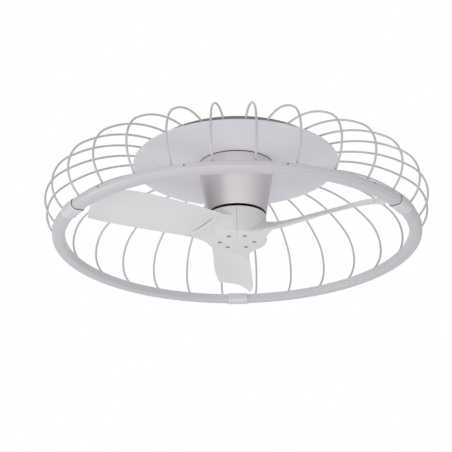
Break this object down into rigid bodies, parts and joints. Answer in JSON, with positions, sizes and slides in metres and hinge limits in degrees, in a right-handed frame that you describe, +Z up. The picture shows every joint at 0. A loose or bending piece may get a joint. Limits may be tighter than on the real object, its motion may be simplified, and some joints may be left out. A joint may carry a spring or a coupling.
{
  "type": "caged ceiling fan with ring light",
  "caption": "Flush ceiling fan: a flat disc and cone carry a twisted blade rotor inside a cage of bent wires that holds a segmented ring light.",
  "frame": {"origin": "centre of the ceiling bracket's slot pattern, on the face that lies against the ceiling", "axes": "+Z up into the ceiling along the fan's axis of turn, +X along the ceiling bracket, -Y towards the side that the picture is taken from"},
  "size_m": [1.0092, 1.0046, 0.2637],
  "materials": {
    "zinc_steel": "zinc plated sheet",
    "bolt_steel": "zinc plated fasteners",
    "black_screws": "blackened steel screws in shade",
    "painted_steel": "satin off-white powder coat",
    "dark_steel": "dark brownish grey dip coat",
    "painted_aluminium": "satin off-white paint on aluminium",
    "satin_cone": "satin pearl paint on spun aluminium",
    "cast_aluminium": "as cast",
    "shaft_steel": "ground steel",
    "lamination": "varnished lamination stack",
    "copper_wire": "enamelled copper",
    "ferrite": "sintered magnet",
    "white_plastic": "semi-gloss moulded plastic",
    "opal_plastic": "opal light cover",
    "light_board": "white board with light chips",
    "white_case": "matt white case",
    "black_foam": "black closed-cell foam rubber",
    "black_case": "matt black case"
  },
  "bodies": {
    "fixture": {"ceiling_bracket": "zinc_steel", "bracket_bolts": "bolt_steel", "chassis_pan": "dark_steel", "canopy_disc": "painted_steel", "disc_studs": "zinc_steel", "hanger_flange": "cast_aluminium", "flange_bolts": "bolt_steel", "terminal_block": "white_case", "receiver_box": "black_case", "led_driver": "white_case", "cone_housing": "satin_cone", "cone_gasket": "black_foam", "cone_screws": "bolt_steel", "motor_shaft": "shaft_steel", "cross_bolt": "bolt_steel", "shaft_nut": "bolt_steel", "stator_carrier": "cast_aluminium", "stator_core": "lamination", "stator_windings": "copper_wire", "lower_bearing_inner": "shaft_steel", "upper_bearing_inner": "shaft_steel", "ring_channel_a": "painted_aluminium", "ring_channel_b": "painted_aluminium", "ring_channel_c": "painted_aluminium", "led_strip_a": "light_board", "led_strip_b": "light_board", "led_strip_c": "light_board", "ring_diffuser_a": "opal_plastic", "ring_diffuser_b": "opal_plastic", "ring_diffuser_c": "opal_plastic", "ring_clip_a": "painted_aluminium", "ring_clip_b": "painted_aluminium", "ring_clip_c": "painted_aluminium", "ring_screws": "black_screws", "cage_wires_a": "painted_steel", "cage_wires_b": "painted_steel", "cage_wires_c": "painted_steel"},
    "rotor": {"lower_bearing_outer": "shaft_steel", "upper_bearing_outer": "shaft_steel", "rotor_bell": "cast_aluminium", "rotor_cover": "cast_aluminium", "cover_screws": "bolt_steel", "back_iron": "shaft_steel", "rotor_magnets": "ferrite", "blade_a": "white_plastic", "blade_b": "white_plastic", "blade_c": "white_plastic", "blade_screws": "black_screws"}
  },
  "joints": [
    {"name": "rotor_spin", "type": "hinge", "parent": "fixture", "child": "rotor", "pos_m": [0, 0, -0.2], "axis": [0, 0, 1], "continuous": true}
  ]
}
